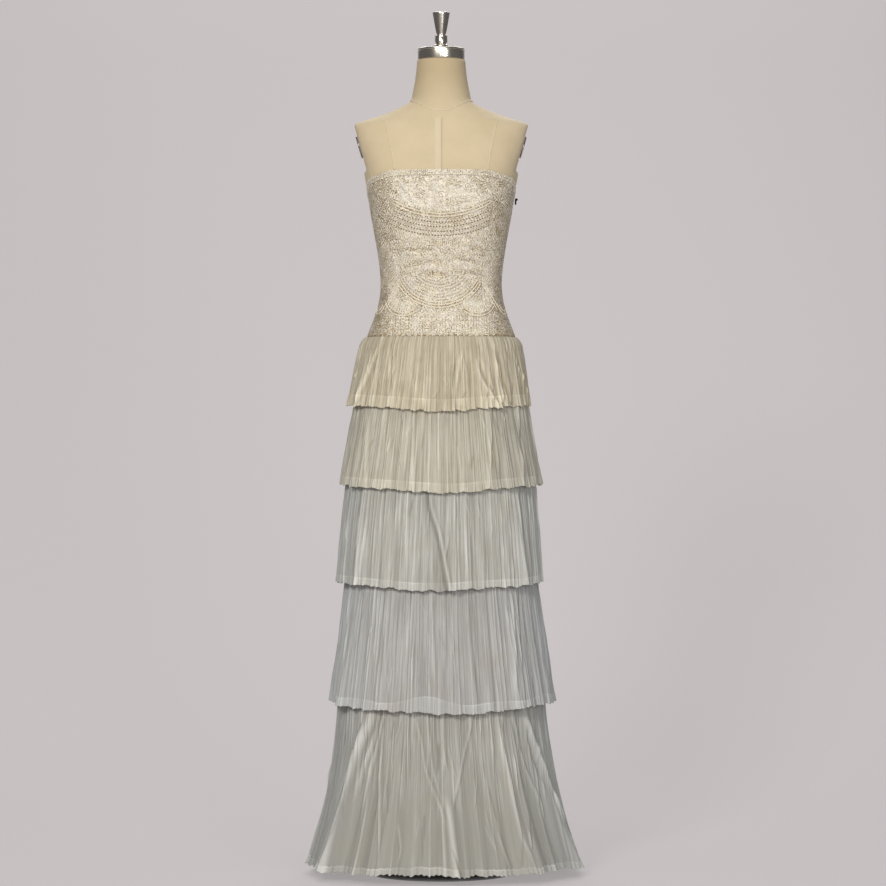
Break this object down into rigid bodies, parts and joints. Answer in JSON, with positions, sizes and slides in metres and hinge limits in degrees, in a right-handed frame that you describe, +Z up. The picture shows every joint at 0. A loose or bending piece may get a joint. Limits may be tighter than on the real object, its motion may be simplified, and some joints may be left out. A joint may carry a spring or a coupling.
{
  "type": "tiered wedding dress on a dress form",
  "caption": "Strapless floor-length wedding dress with a fitted lace bodice and pleated sheer tiers, worn by a limbless dress form on a stand.",
  "frame": {"origin": "on the floor under the middle of the stand's round foot", "axes": "+Z up, -Y is the front of the dress, +X is the wearer's left"},
  "size_m": [0.5521, 0.5074, 1.7204],
  "materials": {
    "lace": "embroidered ivory lace with a soft sheen",
    "ivory_chiffon": "crinkle-pleated sheer cloth, warm ivory",
    "grey_chiffon": "crinkle-pleated sheer cloth, cool off-white",
    "slip": "smooth lining satin",
    "form_canvas": "plain cream cotton cover",
    "polished_metal": "polished",
    "stand_metal": "satin dark grey",
    "dark_hook": "black"
  },
  "bodies": {
    "root": {"form_body": "form_canvas", "bodice_front": "lace", "bodice_side_front_left": "lace", "bodice_side_front_right": "lace", "bodice_side_back_left": "lace", "bodice_side_back_right": "lace", "bodice_back": "lace", "neckline_band": "lace", "slip_skirt": "slip", "tier_1": "ivory_chiffon", "tier_2": "ivory_chiffon", "tier_3": "grey_chiffon", "tier_4": "grey_chiffon", "tier_5": "grey_chiffon", "side_hook": "dark_hook", "neck_cap": "polished_metal", "neck_knob": "polished_metal", "arm_plate_left": "polished_metal", "arm_plate_right": "polished_metal", "stand_pole": "stand_metal", "stand_base": "stand_metal"}
  },
  "joints": []
}
